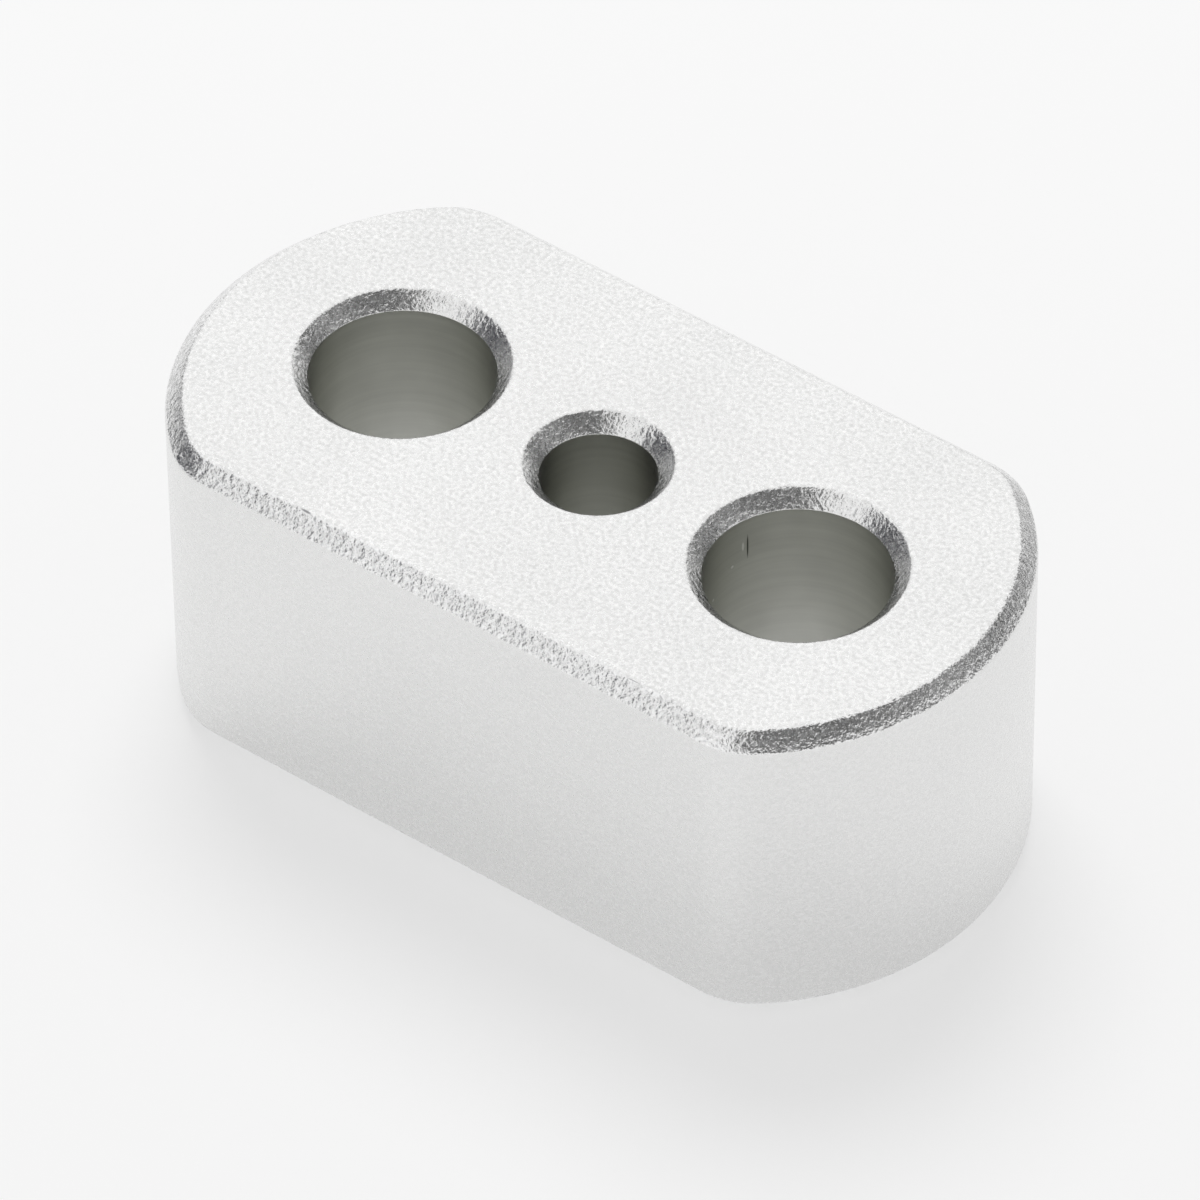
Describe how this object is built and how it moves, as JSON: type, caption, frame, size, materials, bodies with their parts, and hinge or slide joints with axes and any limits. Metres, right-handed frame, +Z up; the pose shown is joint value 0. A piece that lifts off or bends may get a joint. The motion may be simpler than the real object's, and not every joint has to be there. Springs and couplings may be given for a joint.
{
  "type": "mounting block",
  "caption": "Bead-blasted aluminium mounting block with flat sides, bowed ends, chamfered edges, large through bolt holes and a smaller hole midway between them.",
  "frame": {"origin": "centre of the underside", "axes": "+X along the row of holes, +Y across the flat sides, +Z up along the holes, out of the top"},
  "size_m": [0.042, 0.022, 0.017],
  "materials": {
    "block": "bead-blasted and clear anodised, with plain machined hole walls"
  },
  "bodies": {
    "root": {"mounting_block": "block"}
  },
  "joints": []
}
